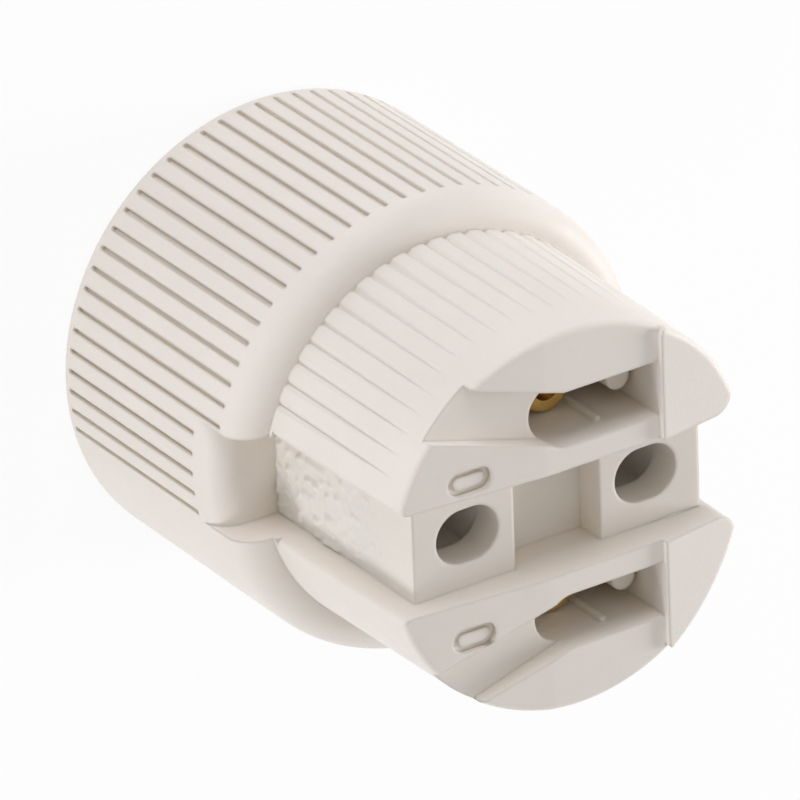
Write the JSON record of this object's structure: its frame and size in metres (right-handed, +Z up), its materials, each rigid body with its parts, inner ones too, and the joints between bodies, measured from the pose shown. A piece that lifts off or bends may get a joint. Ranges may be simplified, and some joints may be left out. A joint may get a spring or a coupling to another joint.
{
  "type": "lamp holder",
  "caption": "Ribbed moulded screw lamp holder with a stepped terminal end, oblong rear fixing holes, wire grooves and a sprung centre contact.",
  "frame": {"origin": "centre of the mouth rim, on the plane the holder stands on", "axes": "+Z up the socket axis to the terminal end, +X along the channel across the end towards the stepped side, +Y to the fully grooved side"},
  "size_m": [0.04, 0.04, 0.0457],
  "materials": {
    "moulded_body": "warm white heat-resistant moulding, fine matt",
    "moulded_cover": "warm white heat-resistant moulding, matt",
    "plated_shell": "nickel-plated drawn sheet",
    "plated_contact": "nickel-plated",
    "spring_steel": "bright drawn wire",
    "contact_brass": "rolled strip",
    "terminal_brass": "turned",
    "screw_steel": "zinc-plated"
  },
  "bodies": {
    "holder": {"housing": "moulded_body", "contact_cover": "moulded_cover", "screw_shell": "plated_shell", "centre_strip": "contact_brass", "shell_strip": "contact_brass", "terminal_barrel_upper": "terminal_brass", "terminal_barrel_lower": "terminal_brass", "shell_screw_left": "screw_steel", "shell_screw_right": "screw_steel"},
    "centre_plunger": {"centre_contact": "plated_contact", "contact_spring": "spring_steel"},
    "upper_clamp": {"clamp_screw_upper": "screw_steel"},
    "lower_clamp": {"clamp_screw_lower": "screw_steel"}
  },
  "joints": [
    {"name": "centre_contact_travel", "type": "slide", "parent": "holder", "child": "centre_plunger", "axis": [0, 0, 1], "range_m": [0, 0.0015], "stiffness_N_per_m": 800, "springref_m": -0.002, "deforming": ["contact_spring"]},
    {"name": "upper_clamp_travel", "type": "slide", "parent": "holder", "child": "upper_clamp", "axis": [0, 0, 1], "range_m": [0, 0.0024]},
    {"name": "lower_clamp_travel", "type": "slide", "parent": "holder", "child": "lower_clamp", "axis": [0, 0, 1], "range_m": [0, 0.0024]}
  ]
}
